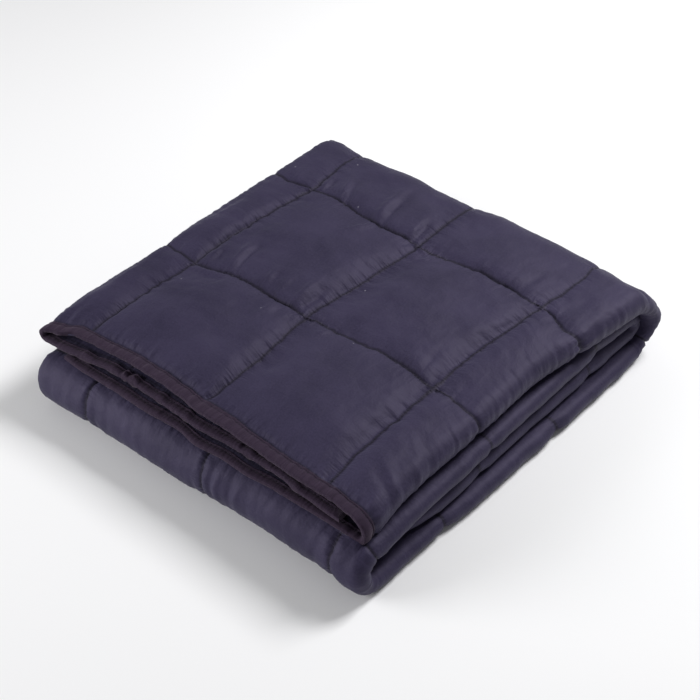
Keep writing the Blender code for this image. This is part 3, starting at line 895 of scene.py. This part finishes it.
# -------- Materials --------
class Nodes:
    """Short ways to add and link shader nodes."""

    def __init__(self, name):
        self.material = bpy.data.materials.new(name)
        self.material.use_nodes = True
        self.tree = self.material.node_tree
        self.shader = self.tree.nodes["Principled BSDF"]

    def add(self, kind, **settings):
        node = self.tree.nodes.new(kind)
        for key, value in settings.items():
            setattr(node, key, value)
        return node

    def put(self, source, socket):
        if isinstance(source, (int, float, tuple)):
            socket.default_value = source
        else:
            self.tree.links.new(source, socket)

    def math(self, operation, first, second=0.0):
        node = self.add("ShaderNodeMath", operation=operation)
        self.put(first, node.inputs[0])
        self.put(second, node.inputs[1])
        return node.outputs[0]

    def weighted(self, *parts):
        """The sum of values, each times its weight."""
        total, *others = [self.math("MULTIPLY", value, weight) for value, weight in parts]
        for other in others:
            total = self.math("ADD", total, other)
        return total

    def combine(self, x, y):
        node = self.add("ShaderNodeCombineXYZ")
        self.put(x, node.inputs[0])
        self.put(y, node.inputs[1])
        return node.outputs[0]

    def flat(self):
        node = self.add("ShaderNodeUVMap", uv_map="flat")
        split = self.add("ShaderNodeSeparateXYZ")
        self.put(node.outputs[0], split.inputs[0])
        return split.outputs[0], split.outputs[1]

    def noise(self, vector, scale=1.0, detail=2.0, roughness=0.5):
        node = self.add("ShaderNodeTexNoise")
        self.put(vector, node.inputs["Vector"])
        node.inputs["Scale"].default_value = scale
        node.inputs["Detail"].default_value = detail
        node.inputs["Roughness"].default_value = roughness
        return node.outputs[0]

    def streaks(self, u, v, per_metre_u, per_metre_v):
        """Noise drawn out along one direction of the cloth."""
        u, v = self.math("MULTIPLY", u, per_metre_u), self.math("MULTIPLY", v, per_metre_v)
        return self.noise(self.combine(u, v))

    def lint(self, vector):
        """A few scattered specks of lint: 1 on a speck, 0 elsewhere."""
        node = self.add("ShaderNodeTexVoronoi", voronoi_dimensions="2D")
        self.put(vector, node.inputs["Vector"])
        node.inputs["Scale"].default_value = LINT_PER_METRE
        chosen = self.add("ShaderNodeSeparateColor")
        self.put(node.outputs["Color"], chosen.inputs[0])
        speck = self.math("LESS_THAN", node.outputs["Distance"], LINT_RADIUS * LINT_PER_METRE)
        return self.math("MULTIPLY", speck, self.math("LESS_THAN", chosen.outputs[0], LINT_SHARE))

    def number(self, name):
        return self.add("ShaderNodeAttribute", attribute_name=name).outputs["Fac"]

    def mix(self, factor, first, second):
        node = self.add("ShaderNodeMix", data_type="RGBA")
        self.put(factor, node.inputs["Factor"])
        self.put(first, node.inputs["A"])
        self.put(second, node.inputs["B"])
        return next(o for o in node.outputs if o.type == "RGBA")

    def spread(self, value, low, high, to_low=0.0, to_high=1.0):
        node = self.add("ShaderNodeMapRange", clamp=True)
        for index, number in enumerate((value, low, high, to_low, to_high)):
            self.put(number, node.inputs[index])
        return node.outputs[0]

    def bump(self, height):
        node = self.add("ShaderNodeBump")
        node.inputs["Strength"].default_value = 1.0
        node.inputs["Distance"].default_value = 1.0
        self.put(height, node.inputs["Height"])
        self.put(node.outputs[0], self.shader.inputs["Normal"])

    def finish(self, values):
        """Give the shader's sockets plain values."""
        for name, value in values.items():
            self.shader.inputs[name].default_value = value


QUILT_DARK = (0.010, 0.008, 0.024, 1.0)
QUILT_COLOUR = (0.021, 0.017, 0.042, 1.0)
QUILT_LIGHT = (0.034, 0.028, 0.061, 1.0)
TAPE_DARK = (0.014, 0.007, 0.018, 1.0)
TAPE_COLOUR = (0.026, 0.014, 0.033, 1.0)
LINT_COLOUR = (0.16, 0.15, 0.19, 1.0)
LINT_PER_METRE = 24.0
LINT_RADIUS = 0.0007
LINT_SHARE = 0.07
# Dark thread line at the seams with painted shade of the seam grooves beside it: its colour, the distances
# from the seam over which it fades out, and its strength.
SEAM_THREAD_AND_SHADE_COLOUR = (0.006, 0.005, 0.011, 1.0)
SEAM_THREAD_AND_SHADE_REACH = (0.0004, 0.0024)
SEAM_SHADE = 0.85
TONE_RANGE = (0.33, 0.57)
PLAIN_SHARE = 0.30
THREAD_PITCH = 0.00050
RIB_PITCH = 0.0011
# Streaks of the cloth, as noise per metre along and across them: slubs, the ticks that run out from the
# seams, and the tape's puckers.
SLUB_STREAKS = (90.0, 1500.0)
TICK_STREAKS = (60.0, 340.0)
TAPE_STREAKS = (60.0, 330.0)
TICK_FADE = 0.0075
TICK_HEIGHT = 0.0016
RUMPLE_HEIGHT = 0.00075
SLUB_HEIGHT = 0.00003
WEAVE_HEIGHT = 0.000012
TAPE_STREAK_HEIGHT = 0.0009
RIB_HEIGHT = 0.00002
QUILT_ROUGHNESS = (0.58, 0.68)
QUILT_FINISH = {
    "Specular IOR Level": 0.32,
    "Specular Tint": (0.80, 0.72, 1.0, 1.0),
    "Sheen Weight": 0.06,
    "Sheen Roughness": 0.45,
    "Sheen Tint": (0.80, 0.82, 1.0, 1.0),
}
TAPE_FINISH = {
    "Roughness": 0.86,
    "Specular IOR Level": 0.25,
    "Sheen Weight": 0.10,
    "Sheen Roughness": 0.45,
    "Sheen Tint": (0.95, 0.80, 0.95, 1.0),
}
THREAD_FINISH = {"Base Color": (0.016, 0.012, 0.027, 1.0), "Roughness": 0.7, "Specular IOR Level": 0.3}


def ripple(nodes, value, pitch):
    """An even rise and fall with this pitch."""
    return nodes.math("SINE", nodes.math("MULTIPLY", value, 2.0 * math.pi / pitch))


def quilt_material():
    """Plain woven cotton: threads, slubs, faint mottling, puckers at the seams and a little lint."""
    nodes = Nodes("quilt_cotton")
    u, v = nodes.flat()
    across = nodes.number("to_long_seam")
    along = nodes.number("to_cross_seam")
    place = nodes.combine(u, v)
    weave = nodes.math("MULTIPLY", ripple(nodes, u, THREAD_PITCH), ripple(nodes, v, THREAD_PITCH))
    slubs = nodes.math("ADD", nodes.streaks(u, v, *SLUB_STREAKS), nodes.streaks(u, v, *SLUB_STREAKS[::-1]))
    mottle = nodes.noise(place, 620.0, 3.0, 0.7)
    cloud = nodes.noise(place, 28.0, 2.0, 0.5)
    tone = nodes.weighted((mottle, 0.45), (cloud, 0.35), (slubs, 0.10))
    colour = nodes.mix(nodes.spread(tone, *TONE_RANGE), QUILT_DARK, QUILT_LIGHT)
    colour = nodes.mix(PLAIN_SHARE, colour, QUILT_COLOUR)
    # Painted shade in the seam grooves, together with the dark thread line: the colour darkens towards each
    # seam.
    seam_thread_and_shade = nodes.spread(nodes.math("MINIMUM", across, along), *SEAM_THREAD_AND_SHADE_REACH, 1.0, 0.0)
    colour = nodes.mix(nodes.math("MULTIPLY", seam_thread_and_shade, SEAM_SHADE), colour, SEAM_THREAD_AND_SHADE_COLOUR)
    colour = nodes.mix(nodes.lint(place), colour, LINT_COLOUR)
    nodes.put(colour, nodes.shader.inputs["Base Color"])

    ticks = []
    for away, streaks in ((across, TICK_STREAKS), (along, TICK_STREAKS[::-1])):
        fade = nodes.math("EXPONENT", nodes.math("MULTIPLY", away, -1.0 / TICK_FADE))
        ticks.append(nodes.math("MULTIPLY", nodes.streaks(u, v, *streaks), fade))
    ticks = nodes.math("ADD", *ticks)
    rumple = nodes.noise(place, 120.0, 3.0, 0.55)
    nodes.bump(nodes.weighted((ticks, TICK_HEIGHT), (rumple, RUMPLE_HEIGHT), (slubs, SLUB_HEIGHT),
                              (weave, WEAVE_HEIGHT)))
    nodes.put(nodes.spread(mottle, 0.3, 0.7, *QUILT_ROUGHNESS), nodes.shader.inputs["Roughness"])
    nodes.finish(QUILT_FINISH)
    return nodes.material


def tape_material():
    """Finer, slightly ribbed tape cloth, darker and more maroon than the covers."""
    nodes = Nodes("binding_cotton")
    u, v = nodes.flat()
    mottle = nodes.noise(nodes.combine(u, v), 300.0, 3.0, 0.6)
    colour = nodes.mix(nodes.spread(mottle, 0.3, 0.7), TAPE_DARK, TAPE_COLOUR)
    nodes.put(nodes.mix(0.5, colour, TAPE_COLOUR), nodes.shader.inputs["Base Color"])
    pucker = nodes.streaks(u, v, *TAPE_STREAKS[::-1])
    nodes.bump(nodes.weighted((pucker, TAPE_STREAK_HEIGHT), (ripple(nodes, u, RIB_PITCH), RIB_HEIGHT)))
    nodes.finish(TAPE_FINISH)
    return nodes.material


def plain_material(name, finish):
    """A material with one plain finish."""
    nodes = Nodes(name)
    nodes.finish(finish)
    return nodes.material


# -------- Camera, floor and light --------
CAMERA_PLACE = Vector((0.611, -0.735, 0.830))
CAMERA_TARGET = Vector((0.035, -0.0425, 0.0725))
CAMERA_LENS = 75.65


def place_camera():
    """The photograph's viewing angle."""
    camera = add_object("camera", bpy.data.cameras.new("camera"))
    camera.data.lens = CAMERA_LENS
    camera.data.sensor_width = 36.0
    camera.location = CAMERA_PLACE - Vector(MIDDLE)
    camera.rotation_euler = (CAMERA_TARGET - CAMERA_PLACE).to_track_quat("-Z", "Y").to_euler()
    bpy.context.scene.camera = camera


FLOOR_HALF = 6.0
FLOOR_DROP = 0.0002
FLOOR_FINISH = {"Base Color": (0.90, 0.90, 0.91, 1.0), "Roughness": 0.9}


def make_floor():
    """A wide pale floor, just under the blanket."""
    mesh = bpy.data.meshes.new("floor")
    corners = [(x * FLOOR_HALF, y * FLOOR_HALF, 0) for x, y in ((-1, -1), (1, -1), (1, 1), (-1, 1))]
    mesh.from_pydata(corners, [], [(0, 1, 2, 3)])
    floor = add_object("floor", mesh)
    floor.location.z = -FLOOR_DROP
    mesh.materials.append(plain_material("floor_white", FLOOR_FINISH))


# Soft lights: name, place, power in watts, width.
LIGHTS = (
    ("back", (0.36, 0.92, 1.16), 21.5, 0.50),
    ("front", (-1.25, -1.45, 0.7), 32.0, 1.2),
)
SKY_STRENGTH = 0.23


def make_lights():
    """Large soft boxes and an even white sky."""
    for name, place, power, width in LIGHTS:
        light = bpy.data.lights.new(name, "AREA")
        light.energy = power
        light.size = width
        lamp = add_object(name, light)
        lamp.location = place
        lamp.rotation_euler = (-Vector(place)).to_track_quat("-Z", "Y").to_euler()
    world = bpy.data.worlds.new("studio")
    world.use_nodes = True
    sky = world.node_tree.nodes["Background"]
    sky.inputs["Color"].default_value = (1.0, 1.0, 1.0, 1.0)
    sky.inputs["Strength"].default_value = SKY_STRENGTH
    bpy.context.scene.world = world


# -------- Everything together --------
place_camera()
make_floor()
make_lights()
quilt = make_quilt()
tape = make_tape()
quilt.data.materials.append(quilt_material())
tape.data.materials.append(tape_material())
stitches = make_stitches()
stitches.data.materials.append(plain_material("thread", THREAD_FINISH))
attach(stitches, "root")
for piece, node in ((quilt, "quilt"), (tape, "binding_tape")):
    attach(piece, "root")
    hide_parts(node)
bpy.context.scene.view_settings.view_transform = "Standard"
